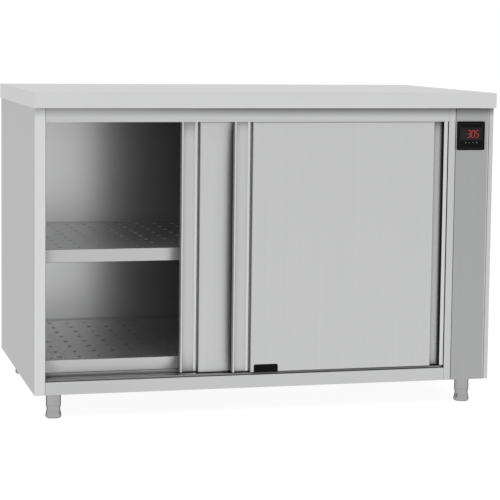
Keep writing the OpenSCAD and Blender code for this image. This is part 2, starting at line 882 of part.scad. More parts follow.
// Supply gland through the column's floor: hexagon below, nut above, bore for a cable
module cable_gland() {
    color(black)
        translate([gland_x, gland_y, floor_z]) difference() {
            union() {
                translate([0, 0, -sheet - gland_drop]) cylinder(r = gland_hex, h = gland_drop, $fn = 6);
                translate([0, 0, -sheet]) cylinder(r = gland_r, h = sheet + gland_thread);
                cylinder(r = gland_hex, h = gland_nut, $fn = 6);
            }
            translate([0, 0, -sheet - gland_drop - cut])
                cylinder(r = gland_bore, h = gland_drop + sheet + gland_thread + 2 * cut);
        }
}

// Rubber stops at both ends of both doors' travel
module door_bumpers() {
    thick = door_end_gap - free_gap;
    color([0.12, 0.12, 0.12])
        for (y = [front_door_y, rear_door_y] + [door_t / 2, door_t / 2])
            for (z = [door_z0 + bumper_end, door_z1 - bumper_end]) {
                rod_x(y, z, bumper_r, [chamber_x0, chamber_x0 + thick]);
                rod_x(y, z, bumper_r, [chamber_x1 - thick, chamber_x1]);
            }
}

// Fixed sleeve of each foot: tube, threaded collar at its foot and plate under the floor
module foot_sleeves() {
    top = floor_z - sheet;
    color(steel)
        for (x = foot_x) for (y = foot_y) translate([x, y, 0]) {
            difference() {
                union() {
                    translate([0, 0, foot_show]) cylinder(d = sleeve_d, h = top - foot_show);
                    box([-foot_plate / 2, foot_plate / 2], [-foot_plate / 2, foot_plate / 2],
                        [top - foot_plate_t, top]);
                }
                translate([0, 0, foot_show + collar_h])
                    cylinder(d = sleeve_d - 2 * sleeve_t, h = top - foot_plate_t - foot_show - collar_h);
                translate([0, 0, foot_show - cut])
                    cylinder(d = stem_d + 2 * free_gap, h = collar_h + 2 * cut);
            }
        }
}

// Adjustable foot: flared base, drawn-in neck, shoulder under the sleeve and stem inside it
module foot(ix, iy) {
    color(steel) translate([foot_x[ix], foot_y[iy], 0]) {
        rotate_extrude()
            polygon(concat([[0, 0], [foot_d / 2 - toe_in, 0], [foot_d / 2 - toe_in / 5, toe_z]],
                foot_curve, [[0, shoulder_z]]));
        translate([0, 0, shoulder_z - cut]) cylinder(d = stem_d, h = stem_top - shoulder_z + cut);
    }
}

// One upright edge of a door's skin: side wall, lip, grip channel and the panel's fold
module grip_2d(lip, channel) {
    square([door_sheet, door_t]);
    square([lip, door_sheet]);
    translate([lip - door_sheet, 0]) square([door_sheet, channel_d + door_sheet]);
    translate([lip - door_sheet, channel_d]) square([channel + 2 * door_sheet, door_sheet]);
    translate([lip + channel, 0]) square([door_sheet, channel_d + door_sheet]);
}

module door_skin_2d() {
    grip_2d(lip_left, channel_left);
    translate([door_w, 0]) mirror([1, 0]) grip_2d(lip_right, channel_right);
    translate([grip_left, 0]) square([door_w - grip_left - grip_right, door_sheet]);
}

// Waste of the rounded folds along a door's lips and panel edges
module door_bends() {
    for (x = [0, door_w - lip_right, grip_left])
        translate([x, 0, 0]) bend_waste(door_bend, door_h);
    for (x = [door_w, lip_left, door_w - grip_right])
        translate([x, 0, 0]) rotate([0, 0, LEFT_BACK]) bend_waste(door_bend, door_h);
}

// Where a door's guide shoe starts: near its left edge on the front door, its right on the rear
function shoe_x(shoe_left) =
    shoe_left ? grip_left + shoe_inset : door_w - grip_right - shoe_inset - shoe_w;

// Outline of the shoe's notch in the door's face, set in by a play
module notch_2d(play) {
    translate([play, 0]) arch_2d(shoe_w - 2 * play, shoe_h - play, shoe_corner);
}

// Upright block of the notch's outline between two depths of the door, from height z
module notch_block(shoe_left, play, y, z) {
    translate([shoe_x(shoe_left), y[1], z]) rotate([90, 0, 0])
        linear_extrude(y[1] - y[0]) notch_2d(play);
}

module door_skin(shoe_left) {
    color(steel) difference() {
        linear_extrude(door_h) door_skin_2d();
        door_bends();
        notch_block(shoe_left, 0, [-cut, door_sheet + cut], 0);
        translate([shoe_x(shoe_left), -cut, -cut]) cube([shoe_w, door_sheet + 2 * cut, 2 * cut]);
    }
}

// Space between the folds of a door's face
module door_inside(z) {
    box([grip_left + door_sheet, door_w - grip_right - door_sheet],
        [door_sheet, door_t - door_sheet], z);
}

module shoe_room(shoe_left) {
    notch_block(shoe_left, 0, [-cut, shoe_d + seam_play], 0);
    translate([shoe_x(shoe_left), -cut, -cut]) cube([shoe_w, shoe_d + seam_play + cut, 2 * cut]);
}

module door_pan(shoe_left) {
    color(dark_steel) difference() {
        union() {
            box([door_sheet, door_w - door_sheet], [door_t - door_sheet, door_t], [0, door_h]);
            door_inside([0, door_sheet]);
            door_inside([door_h - door_sheet, door_h]);
        }
        shoe_room(shoe_left);
    }
}

module door_core(shoe_left) {
    color("khaki") difference() {
        door_inside([door_sheet, door_h - door_sheet]);
        shoe_room(shoe_left);
    }
}

// Guide shoe in its notch, with the tongue that runs in the groove of the guide strip
module door_shoe(shoe_left) {
    x = shoe_x(shoe_left) + seam_play / 2;
    below = shoe_seat - free_gap;
    long = shoe_w - seam_play;
    color(black) {
        notch_block(shoe_left, seam_play / 2, [shoe_recess, shoe_d], 0);
        translate([x, shoe_recess, -below]) cube([long, shoe_d - shoe_recess, below]);
        translate([x, (door_t - tongue_w) / 2, -below - tongue_drop])
            cube([long, tongue_w, tongue_drop]);
    }
}

// Hanger plates with their feet and axles; side is -1 in front of the track, 1 behind it
module door_hangers(door_x, side) {
    plate = side < 0 ? [track_y - plate_off - hanger_t, track_y - plate_off]
        : [track_y + plate_off, track_y + plate_off + hanger_t];
    foot = side < 0 ? [plate[0] - hanger_foot, plate[1]] : [plate[0], plate[1] + hanger_foot];
    near = roller_off - free_gap;
    far = roller_off + roller_w + free_gap;
    color(steel)
        for (x = hanger_x) translate([door_x + x, 0, 0]) {
            box([-hanger_l / 2, hanger_l / 2], plate, [door_z1, roller_z + roller_r - 1]);
            box([-hanger_l / 2, hanger_l / 2], foot, [door_z1, door_z1 + hanger_t]);
            hanger_pin(side, axle_r, near, plate_off);
            hanger_pin(side, axle_collar_r, far, plate_off);
            hanger_pin(side, axle_head_r, near - axle_head_t, near);
        }
}

// Round length of an axle between two distances from the middle of the track
module hanger_pin(side, r, near, far) {
    rod_y(0, roller_z, r, side < 0 ? [track_y - far, track_y - near] : [track_y + near, track_y + far]);
}

module roller(door_x, side, i) {
    y0 = side < 0 ? track_y - roller_off - roller_w : track_y + roller_off;
    color("white") difference() {
        rod_y(door_x + hanger_x[i], roller_z, roller_r, [y0, y0 + roller_w]);
        rod_y(door_x + hanger_x[i], roller_z, axle_r + run_gap, [y0 - cut, y0 + roller_w + cut]);
    }
}

module front_door_at() {
    translate([front_door_x, front_door_y, door_z0]) children();
}

module rear_door_at() {
    translate([rear_door_x, rear_door_y, door_z0]) children();
}

worktop();
worktop_core();
ceiling_liner();
side_panel_left();
side_panel_right();
left_liner();
insulation_left();
back_panel();
back_panel_screws();
back_liner();
insulation_back();
base_tray();
top_rail();
top_track();
guide_strip();
partition();
control_panel();
middle_shelf();
bottom_shelf();
shelf_skirt();
shelf_supports();
heater_element();
heater_brackets();
heater_nuts();
temperature_probe();
controller_bezel();
controller_housing();
controller_board();
controller_clips();
display_window();
key(0);  // key_power
key(1);  // key_down
key(2);  // key_up
key(3);  // key_set
mounting_plate();
terminal_block();
safety_cutout();
power_relay();
cable_gland();
door_bumpers();
foot_sleeves();
foot(0, 0);  // foot_front_left
foot(1, 0);  // foot_front_right
foot(0, 1);  // foot_back_left
foot(1, 1);  // foot_back_right
front_door_at() door_skin(true);  // front_door_skin
front_door_at() door_pan(true);  // front_door_pan
front_door_at() door_core(true);  // front_door_core
door_hangers(front_door_x, -1);  // front_door_hangers
front_door_at() door_shoe(true);  // front_door_shoe
roller(front_door_x, -1, 0);  // front_roller_left
roller(front_door_x, -1, 1);  // front_roller_right
rear_door_at() door_skin(false);  // rear_door_skin
rear_door_at() door_pan(false);  // rear_door_pan
rear_door_at() door_core(false);  // rear_door_core
door_hangers(rear_door_x, 1);  // rear_door_hangers
rear_door_at() door_shoe(false);  // rear_door_shoe
roller(rear_door_x, 1, 0);  // rear_roller_left
roller(rear_door_x, 1, 1);  // rear_roller_right
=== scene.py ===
import json
import math

import bmesh
import bpy
from mathutils import Matrix, Vector


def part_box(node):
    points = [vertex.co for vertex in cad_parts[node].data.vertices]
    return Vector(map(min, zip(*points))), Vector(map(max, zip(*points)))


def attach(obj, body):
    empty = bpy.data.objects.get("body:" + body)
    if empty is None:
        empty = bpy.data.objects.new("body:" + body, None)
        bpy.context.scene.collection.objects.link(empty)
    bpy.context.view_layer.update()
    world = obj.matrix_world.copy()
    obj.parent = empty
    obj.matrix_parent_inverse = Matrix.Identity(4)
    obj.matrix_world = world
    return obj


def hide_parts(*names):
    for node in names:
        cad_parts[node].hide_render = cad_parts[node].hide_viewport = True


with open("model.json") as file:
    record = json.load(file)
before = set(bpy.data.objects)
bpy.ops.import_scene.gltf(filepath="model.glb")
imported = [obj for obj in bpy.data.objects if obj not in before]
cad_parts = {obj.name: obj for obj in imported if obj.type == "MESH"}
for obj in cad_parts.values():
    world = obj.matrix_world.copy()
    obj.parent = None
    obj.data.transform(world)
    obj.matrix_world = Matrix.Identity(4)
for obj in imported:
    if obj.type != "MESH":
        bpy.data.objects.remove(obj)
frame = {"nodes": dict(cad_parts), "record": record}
nodes = frame["nodes"]
scene = bpy.context.scene
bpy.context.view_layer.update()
MM = 0.001
X_AXIS, Z_AXIS = 0, 2
DOORS = ("front_door", "rear_door")

# Sockets of the Mix node, whose names repeat for each type of data
FLOAT_A, FLOAT_B, FLOAT_RESULT = 2, 3, 0
COLOUR_A, COLOUR_B, COLOUR_RESULT = 6, 7, 2

# Range that holds most values of a noise texture, and heights of the textures' relief in m
NOISE_LOW, NOISE_HIGH = 0.3, 0.7
FINE_HEIGHT, MOULD_HEIGHT, STRAND_HEIGHT = 0.0001, 0.00015, 0.001

# Scales of the textures per m: ground steel has one across and one along its grain
HAIRLINE, STREAK, STEEL_CLOUD = (2400.0, 7.0), (150.0, 1.6), 2.6
METAL_CLOUD, MOULD_CLOUD, SEGMENT_GLOW = 18.0, 35.0, 420.0

# Limits of the textures that set gloss and tone, and changes of gloss (for metal as gains)
WEAR_LOW, WEAR_HIGH = 0.36, 0.64
STRAND_LOW, STRAND_HIGH, STRAND_STRENGTH = 0.32, 0.68, 0.5
METAL_GLOSS, MOULD_GLOSS, STRAND_GLOSS = (0.8, 1.3), (-0.05, 0.08), -0.08
COAT_ROUGH, SEGMENT_ROUGH = 0.05, 0.35

# Samples of the view that the painted shade in crevices takes, straight out and towards a
# direction
VIEW_SAMPLES, AIMED_SAMPLES = 12, 24
TO_THE_RIGHT = (0.766, -0.643, 0.0)

# Least tone of the painted shadow below the worktop at the left and from the middle on, and where
# these are in m
UNDER_LEFT, UNDER_RIGHT = 0.52, 0.24
LEFT_AT, RIGHT_AT = -0.57, 0.05

# Painted shadow line below a door's upper edge, where the rail above shades it: its tone, and in
# m below the edge where it starts to darken and is darkest
SHADOW_LINE_TONE, SHADOW_LINE_START, SHADOW_LINE_FULL = 0.55, 0.0045, 0.0015

# Limits of the normal's Y on faces to the front, and the shelves' front fold in m
TO_THE_FRONT = (-0.6, -0.3)
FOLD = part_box("middle_shelf")[0][1] + 0.002
BEHIND_FOLD = FOLD + 0.004


# Materials
def material(name):
    mat = bpy.data.materials.new(name)
    mat.use_nodes = True
    return mat, mat.node_tree, mat.node_tree.nodes["Principled BSDF"]


def grey(level):
    return (level, level, level, 1.0)


def add(tree, kind, **inputs):
    node = tree.nodes.new(kind)
    for key, value in inputs.items():
        socket = node.inputs[key.replace("_", " ")]
        if isinstance(value, bpy.types.NodeSocket):
            tree.links.new(value, socket)
        else:
            socket.default_value = value
    return node


def coordinate(tree, kind):
    return add(tree, "ShaderNodeTexCoord").outputs[kind]


def part_of(tree, vector, axis):
    return add(tree, "ShaderNodeSeparateXYZ", Vector=vector).outputs[axis]


def noise(tree, place, scale, detail=2.0, rough=0.5):
    stretched = add(tree, "ShaderNodeMapping", Vector=place, Scale=scale)
    node = add(tree, "ShaderNodeTexNoise", Vector=stretched.outputs["Vector"], Scale=1.0,
               Detail=detail, Roughness=rough)
    return node.outputs["Fac"]


def blend_of(tree, a, b, share):
    node = tree.nodes.new("ShaderNodeMix")
    node.data_type = "FLOAT"
    node.inputs["Factor"].default_value = share
    tree.links.new(a, node.inputs[FLOAT_A])
    tree.links.new(b, node.inputs[FLOAT_B])
    return node.outputs[FLOAT_RESULT]


def spread(tree, value, low, high, start=NOISE_LOW, end=NOISE_HIGH, curve="SMOOTHSTEP"):
    node = add(tree, "ShaderNodeMapRange", Value=value, From_Min=start, From_Max=end, To_Min=low,
               To_Max=high)
    node.interpolation_type = curve
    return node.outputs["Result"]


def ramp(tree, value, stops):
    node = add(tree, "ShaderNodeValToRGB", Fac=value)
    for element, (position, colour) in zip(node.color_ramp.elements, stops):
        element.position = position
        element.color = (*colour, 1.0)
    return node.outputs["Color"]


def multiply(tree, a, b):
    node = tree.nodes.new("ShaderNodeMix")
    node.data_type = "RGBA"
    node.blend_type = "MULTIPLY"
    node.inputs["Factor"].default_value = 1.0
    tree.links.new(a, node.inputs[COLOUR_A])
    tree.links.new(b, node.inputs[COLOUR_B])
    return node.outputs[COLOUR_RESULT]


def math_node(tree, operation, a, b=None):
    node = tree.nodes.new("ShaderNodeMath")
    node.operation = operation
    for socket, value in zip(node.inputs, (a, b)):
        if isinstance(value, bpy.types.NodeSocket):
            tree.links.new(value, socket)
        elif value is not None:
            socket.default_value = value
    return node.outputs[0]


def level_share(tree, place, low, high, forward):
    """Share of the view that level edges hide from an upright panel between two heights."""
    z = part_of(tree, place, "Z")
    shares = []
    for height in (math_node(tree, "SUBTRACT", z, low), math_node(tree, "SUBTRACT", high, z)):
        square = math_node(tree, "MULTIPLY", height, height)
        away = math_node(tree, "SQRT", math_node(tree, "ADD", square, forward ** 2))
        slope = math_node(tree, "DIVIDE", height, away)
        shares.append(math_node(tree, "ADD", math_node(tree, "MULTIPLY", slope, -0.5), 0.5))
    return math_node(tree, "ADD", *shares)


def open_view(tree, reach, towards=None):
    """Share of the view that nothing within reach hides, straight out or towards a direction."""
    node = add(tree, "ShaderNodeAmbientOcclusion", Distance=reach)
    node.samples = VIEW_SAMPLES
    if towards:
        node.samples = AIMED_SAMPLES
        aim = add(tree, "ShaderNodeCombineXYZ", X=towards[0], Y=towards[1], Z=towards[2])
        tree.links.new(aim.outputs[0], node.inputs["Normal"])
    return node.outputs["AO"]


def crevice(tree, depth, reach, closed, open_, given_back=None, towards=None):
    """Painted shade in corners and beside edges, where light doesn't reach.

    It goes from 1 - depth where the share of open view is closed to 1 where it is open_.
    """
    view = open_view(tree, reach, towards)
    if given_back is not None:
        view = math_node(tree, "ADD", view, given_back)
    return spread(tree, view, 1.0 - depth, 1.0, closed, open_)


def overhang(tree, place, edge, drop):
    """Painted shadow below an overhang's edge, weaker at the left, where light comes under it."""
    least = spread(tree, part_of(tree, place, "X"), UNDER_LEFT, UNDER_RIGHT, LEFT_AT, RIGHT_AT)
    fall = spread(tree, part_of(tree, place, "Z"), 0.0, 1.0, edge, edge - drop, "LINEAR")
    missing = math_node(tree, "SUBTRACT", 1.0, least)
    return math_node(tree, "ADD", least, math_node(tree, "MULTIPLY", missing, fall))


def bump(tree, height, strength, distance):
    node = add(tree, "ShaderNodeBump", Height=height, Strength=strength, Distance=distance)
    return node.outputs["Normal"]


def tinted(colour, gain):
    return tuple(min(1.0, c * gain) for c in colour)


def mottled(colour, mottle):
    """Stops of a ramp from a little darker to a little lighter than a colour."""
    return [(NOISE_LOW, tinted(colour, 1.0 - mottle)), (NOISE_HIGH, tinted(colour, 1.0 + mottle))]


def grain_scale(axis, across, along):
    return tuple(along if i == axis else across for i in range(3))


def brushed(name, colour, rough, axis, mottle=0.02, shade=None, haze=None, edges=None, front=None,
            below=None, beside=None, relief=0.018, glancing=1.0):
    """Ground steel: hairlines along one axis, longer streaks and faint clouds.

    rough is the range between the hairlines' ridges and furrows; shade is the depth, reach and
    limits of the painted shade in crevices; haze is a wide second sheen as (roughness, refractive
    index); edges are level_share()'s heights and reach, whose light makes up for what they hide,
    apart from a painted shadow line below the upper one; front is the painted shade on faces to
    the front, as their tone at the front fold and in the holes behind it; below is the edge and
    drop of the painted shadow under an overhang; beside is painted shade in crevices on the faces
    to the front alone, aimed to the right; relief is the hairlines' depth; glancing is the tint of
    reflections along the sheet.
    """
    mat, tree, shader = material(name)
    place = coordinate(tree, "Object")
    hair = noise(tree, place, grain_scale(axis, *HAIRLINE), detail=2.0)
    streak = noise(tree, place, grain_scale(axis, *STREAK), detail=3.0)
    cloud = noise(tree, place, (STEEL_CLOUD,) * 3, detail=3.0, rough=0.55)
    base = ramp(tree, blend_of(tree, streak, cloud, share=0.5), mottled(colour, mottle))
    if below or beside or front:
        facing = part_of(tree, coordinate(tree, "Normal"), "Y")
        away = spread(tree, facing, 0.0, 1.0, *TO_THE_FRONT)
    if beside or front:
        depth = part_of(tree, place, "Y")
    # Painted shadow below the worktop's edge, on faces to the front alone
    if below:
        shadow = overhang(tree, place, *below)
        base = multiply(tree, base, math_node(tree, "MAXIMUM", shadow, away))
    # Painted shade beside the doors: a fade towards the right on faces to the front, in front of
    # the fold
    if beside:
        behind = spread(tree, depth, 0.0, 1.0, FOLD, BEHIND_FOLD)
        shade_beside_doors = crevice(tree, *beside, towards=TO_THE_RIGHT)
        for rest in (away, behind):
            shade_beside_doors = math_node(tree, "MAXIMUM", shade_beside_doors, rest)
        base = multiply(tree, base, shade_beside_doors)
    # Painted shade in crevices
    if shade:
        given_back = level_share(tree, place, *edges) if edges else None
        base = multiply(tree, base, crevice(tree, *shade, given_back))
    # Painted shadow line below the upper edge
    if edges:
        upper = edges[1]
        line = spread(tree, part_of(tree, place, "Z"), 1.0, SHADOW_LINE_TONE,
                      upper - SHADOW_LINE_START, upper - SHADOW_LINE_FULL)
        base = multiply(tree, base, line)
    # Painted shade on faces to the front: darker at the fold and in the holes behind it
    if front:
        tone = spread(tree, depth, *front, FOLD, BEHIND_FOLD)
        base = multiply(tree, base, math_node(tree, "MAXIMUM", tone, away))
    tree.links.new(base, shader.inputs["Base Color"])
    wear = blend_of(tree, hair, cloud, share=0.3)
    tree.links.new(spread(tree, wear, *rough, WEAR_LOW, WEAR_HIGH), shader.inputs["Roughness"])
    tree.links.new(bump(tree, hair, relief, FINE_HEIGHT), shader.inputs["Normal"])
    shader.inputs["Metallic"].default_value = 1.0
    shader.inputs["Specular Tint"].default_value = grey(glancing)
    if haze:
        shader.inputs["Coat Weight"].default_value = 1.0
        shader.inputs["Coat Roughness"].default_value = haze[0]
        shader.inputs["Coat IOR"].default_value = haze[1]
    return mat


def metal(name, colour, rough, scale, mottle, strength, glancing=1.0):
    """Plated, turned or cast metal with an even fine texture; glancing is as in brushed()."""
    mat, tree, shader = material(name)
    place = coordinate(tree, "Object")
    fine = noise(tree, place, (scale,) * 3, detail=4.0)
    cloud = noise(tree, place, (METAL_CLOUD,) * 3, detail=3.0)
    tone = ramp(tree, blend_of(tree, fine, cloud, share=0.6), mottled(colour, mottle))
    gloss = spread(tree, cloud, *(rough * gain for gain in METAL_GLOSS))
    tree.links.new(tone, shader.inputs["Base Color"])
    tree.links.new(gloss, shader.inputs["Roughness"])
    tree.links.new(bump(tree, fine, strength, FINE_HEIGHT), shader.inputs["Normal"])
    shader.inputs["Metallic"].default_value = 1.0
    shader.inputs["Specular Tint"].default_value = grey(glancing)
    return mat


def moulded(name, colour, rough, scale=900.0, mottle=0.12, strength=0.15, coat=0.0, shine=0.5):
    """Moulded plastic or rubber: fine spark-eroded grain with slight gloss changes."""
    mat, tree, shader = material(name)
    place = coordinate(tree, "Object")
    fine = noise(tree, place, (scale,) * 3, detail=3.0, rough=0.6)
    cloud = noise(tree, place, (MOULD_CLOUD,) * 3, detail=2.0)
    tone = ramp(tree, blend_of(tree, fine, cloud, share=0.5), mottled(colour, mottle))
    gloss = spread(tree, fine, *(rough + change for change in MOULD_GLOSS))
    tree.links.new(tone, shader.inputs["Base Color"])
    tree.links.new(gloss, shader.inputs["Roughness"])
    tree.links.new(bump(tree, fine, strength, MOULD_HEIGHT), shader.inputs["Normal"])
    shader.inputs["Specular IOR Level"].default_value = shine
    shader.inputs["Coat Weight"].default_value = coat
    shader.inputs["Coat Roughness"].default_value = COAT_ROUGH
    return mat


def fibrous(name, low, high, scale, stretch, rough):
    """Mineral wool or chipboard: matted strands or flakes in two tones."""
    mat, tree, shader = material(name)
    place = coordinate(tree, "Object")
    strand = noise(tree, place, stretch, detail=5.0, rough=0.65)
    flake = noise(tree, place, (scale,) * 3, detail=3.0)
    tone = ramp(tree, blend_of(tree, strand, flake, share=0.4),
                [(STRAND_LOW, low), (STRAND_HIGH, high)])
    tree.links.new(tone, shader.inputs["Base Color"])
    tree.links.new(spread(tree, strand, rough + STRAND_GLOSS, rough), shader.inputs["Roughness"])
    tree.links.new(bump(tree, strand, STRAND_STRENGTH, STRAND_HEIGHT), shader.inputs["Normal"])
    return mat


def lit(name, dim, bright, strength):
    """Light-emitting segment with a slightly uneven glow."""
    mat, tree, shader = material(name)
    glow = noise(tree, coordinate(tree, "Object"), (SEGMENT_GLOW,) * 3)
    colour = ramp(tree, glow, [(NOISE_LOW, dim), (NOISE_HIGH, bright)])
    tree.links.new(colour, shader.inputs["Base Color"])
    tree.links.new(colour, shader.inputs["Emission Color"])
    shader.inputs["Emission Strength"].default_value = strength
    shader.inputs["Roughness"].default_value = SEGMENT_ROUGH
    return mat


# Tones of the steel parts: one steel, its tone raised or lowered part by part as painted light and
# shade
STEEL = (0.535, 0.537, 0.539)
WORKTOP = (0.63, 0.632, 0.634)
CONTROL = (0.37, 0.372, 0.374)
SIDE = (0.66, 0.662, 0.665)
INNER = (0.55, 0.552, 0.555)
SHELF = (0.60, 0.602, 0.605)
LOWER = (0.72, 0.722, 0.725)

# Roughness of ridges and furrows
PLAIN, FINE, SMOOTH = (0.28, 0.32), (0.22, 0.26), (0.25, 0.27)
COARSE, DULL = (0.52, 0.60), (0.35, 0.45)

# Painted shade in crevices: depth, reach in m and the shares of open view where it is darkest and
# ends
BESIDE_GAPS = (0.40, 0.03, 0.10, 0.60)
ON_DOORS = (0.88, 0.07, 0.66, 0.93)
IN_CHANNEL = (0.50, 0.06, 0.36, 0.86)
IN_DEEP_CHANNEL = (0.70, 0.06, 0.48, 0.84)
UNDER_DOORS = (0.97, 0.03, 0.32, 0.62)
IN_CORNERS = (0.60, 0.04, 0.15, 0.60)
ON_SHELVES = (0.38, 0.05, 0.55, 0.90)
ON_STRIP = (0.97, 0.03, 0.54, 0.78)
BESIDE_DOORS = (0.90, 0.05, 0.38, 0.68)
BESIDE_DOORS_LOW = (0.90, 0.05, 0.28, 0.52)

# Edges in m: the worktop's lower edge with its shadow's drop, and a door's with their reach
WORKTOP_EDGE = (0.775, 0.022)
DOOR_EDGES = (0.098, 0.741, 0.024)

# What several steels share: outside, painted shade beside gaps and a painted shadow below the
# worktop; inside, a soft second sheen
BODY = {"shade": BESIDE_GAPS, "below": WORKTOP_EDGE}
SOFT = {"haze": (0.62, 2.35), "mottle": 0.012, "relief": 0.005}
steel_upright = brushed("steel_upright_grain", STEEL, PLAIN, Z_AXIS, **BODY)
steel_side = brushed("steel_side_grain", SIDE, PLAIN, Z_AXIS, glancing=0.58, **BODY)
steel_control = brushed("steel_control_grain", CONTROL, PLAIN, Z_AXIS, **BODY)
steel_rail = brushed("steel_rail_grain", STEEL, PLAIN, X_AXIS, **BODY)
# Painted shade beside gaps on the worktop and under the doors on the tray; on the doors painted
# shade beside the other door, and a painted shadow line below the upper edge
steel_long = brushed("steel_long_grain", WORKTOP, PLAIN, X_AXIS, shade=BESIDE_GAPS, glancing=0.8)
steel_tray = brushed("steel_tray_grain", STEEL, PLAIN, X_AXIS, shade=UNDER_DOORS)
steel_door = brushed("steel_door_grain", STEEL, PLAIN, Z_AXIS, shade=ON_DOORS, edges=DOOR_EDGES)
# Lit and shaded copies of the door steel: folded edges lighter and smoother, partly real gloss and
# partly a painted highlight; flanks lighter as painted light; painted shade in the channels;
# channel walls and the recess darker as painted shade
steel_edge = brushed("steel_edge_painted_highlight", tinted(STEEL, gain=1.1), FINE, Z_AXIS)
steel_flank = brushed("steel_flank_painted_light", tinted(STEEL, gain=1.2), COARSE, Z_AXIS)
steel_channel = brushed("steel_channel_grain", STEEL, PLAIN, Z_AXIS, shade=IN_CHANNEL)
steel_deep = brushed("steel_deep_channel_grain", STEEL, PLAIN, Z_AXIS, shade=IN_DEEP_CHANNEL)
steel_wall = brushed("steel_channel_wall_painted_shade", tinted(STEEL, gain=0.42), PLAIN, Z_AXIS)
steel_recess = brushed("steel_recess_painted_shade", tinted(STEEL, gain=0.08), DULL, Z_AXIS)
# Inside: painted shade in corners and on the shelves; on the shelves' front faces a darker tone at
# the fold and in the holes behind it, and a painted fade beside the doors
inner_upright = brushed("inner_upright_grain", INNER, SMOOTH, Z_AXIS, shade=IN_CORNERS, **SOFT)
inner_long = brushed("inner_long_grain", SHELF, SMOOTH, X_AXIS, shade=ON_SHELVES,
                     front=(0.715, 0.44), beside=BESIDE_DOORS, **SOFT)
inner_low = brushed("inner_low_grain", LOWER, SMOOTH, X_AXIS, shade=ON_SHELVES,
                    front=(0.614, 0.41), beside=BESIDE_DOORS_LOW, **SOFT)
inner_floor = brushed("inner_floor_grain", LOWER, PLAIN, X_AXIS, shade=IN_CORNERS, **SOFT)
# Guide strip: painted shade on it, and its front face dark as the painted shade under the doors
strip_steel = brushed("guide_strip_grain", LOWER, PLAIN, X_AXIS, shade=ON_STRIP,
                      front=(0.30, 0.30), relief=0.005)
polished = metal("polished_steel", (0.36, 0.36, 0.364), rough=0.12, scale=300.0, mottle=0.02,
                 strength=0.01, glancing=0.0)
galvanised = metal("zinc_plate", (0.55, 0.57, 0.59), rough=0.38, scale=90.0, mottle=0.10,
                   strength=0.10)
darkened = metal("heat_darkened_tube", (0.18, 0.16, 0.15), rough=0.42, scale=260.0, mottle=0.25,
                 strength=0.15)
brass = metal("turned_brass", (0.78, 0.58, 0.24), rough=0.28, scale=500.0, mottle=0.06,
              strength=0.06)
black_plastic = moulded("black_plastic", (0.0032, 0.0032, 0.0035), rough=0.40, shine=0.06)
key_plastic = moulded("key_plastic", (0.006, 0.0065, 0.0065), rough=0.48, scale=1200.0, shine=0.08)
window_plastic = moulded("display_filter", (0.006, 0.002, 0.0025), rough=0.12, scale=300.0,
                         mottle=0.05, strength=0.01, coat=0.1, shine=0.15)
nylon = moulded("nylon", (0.76, 0.75, 0.70), rough=0.45, scale=500.0, mottle=0.04, strength=0.08)
rubber = moulded("rubber", (0.02, 0.02, 0.02), rough=0.75, scale=700.0, mottle=0.2, strength=0.25)
circuit = moulded("circuit_board", (0.02, 0.16, 0.07), rough=0.35, scale=260.0, mottle=0.25,
                  strength=0.2)
ivory = moulded("terminal_plastic", (0.72, 0.66, 0.50), rough=0.4, scale=600.0, mottle=0.05,
                strength=0.1)
phenolic = moulded("phenolic_resin", (0.16, 0.08, 0.035), rough=0.4, scale=500.0, mottle=0.15,
                   strength=0.1)
relay_case = moulded("relay_case", (0.55, 0.57, 0.60), rough=0.18, scale=700.0, mottle=0.04,
                     strength=0.03, coat=0.3)
board = fibrous("chipboard", low=(0.36, 0.25, 0.14), high=(0.62, 0.48, 0.30), scale=160.0,
                stretch=(220.0, 220.0, 500.0), rough=0.85)
wool = fibrous("mineral_wool", low=(0.50, 0.42, 0.22), high=(0.78, 0.70, 0.44), scale=90.0,
               stretch=(40.0, 40.0, 400.0), rough=0.98)
red = lit("display_segment_lit", dim=(0.15, 0.010, 0.013), bright=(0.26, 0.020, 0.026),
          strength=1.0)
unlit = moulded("display_segment_unlit", (0.030, 0.027, 0.027), rough=0.4, scale=800.0, mottle=0.2,
                strength=0.05, shine=0.1)
ink = moulded("key_print", (0.20, 0.24, 0.23), rough=0.5, scale=600.0, mottle=0.15, strength=0.05)
rim_grey = moulded("bezel_line", (0.03, 0.03, 0.031), rough=0.5, scale=700.0, mottle=0.15,
                   strength=0.05, shine=0.2)

BY_SLOT = {
    "stainless": steel_upright, "stainless_inner": inner_upright, "polished": polished,
    "board": board, "wool": wool, "black_plastic": black_plastic, "key_plastic": key_plastic,
    "display": window_plastic, "nylon": nylon, "rubber": rubber, "heater": darkened,
    "galvanised": galvanised, "brass": brass, "circuit": circuit, "ivory": ivory,
    "phenolic": phenolic, "relay_case": relay_case,
}
OWN_GRAIN = {
    "worktop": steel_long, "top_rail": steel_rail, "base_tray": steel_tray,
    "side_panel_left": steel_side, "control_panel": steel_control, "middle_shelf": inner_long,
    "shelf_supports": inner_long, "top_track": inner_long, "bottom_shelf": inner_low,
    "shelf_skirt": inner_floor, "guide_strip": strip_steel,
}
slot_of = {part["node"]: part["material_slot"] for part in frame["record"]["subparts"]}
for name, node in nodes.items():
    node.data.materials.clear()
    node.data.materials.append(OWN_GRAIN.get(name, BY_SLOT[slot_of[name]]))


# Pieces, with sizes in mm
def piece(name, mesh, mat, body):
    obj = bpy.data.objects.new(name, mesh)
    scene.collection.objects.link(obj)
    obj.data.materials.append(mat)
    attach(obj, body)
    return obj


def mesh_of(bm, name):
    mesh = bpy.data.meshes.new(name)
    bm.to_mesh(mesh)
    bm.free()
    return mesh


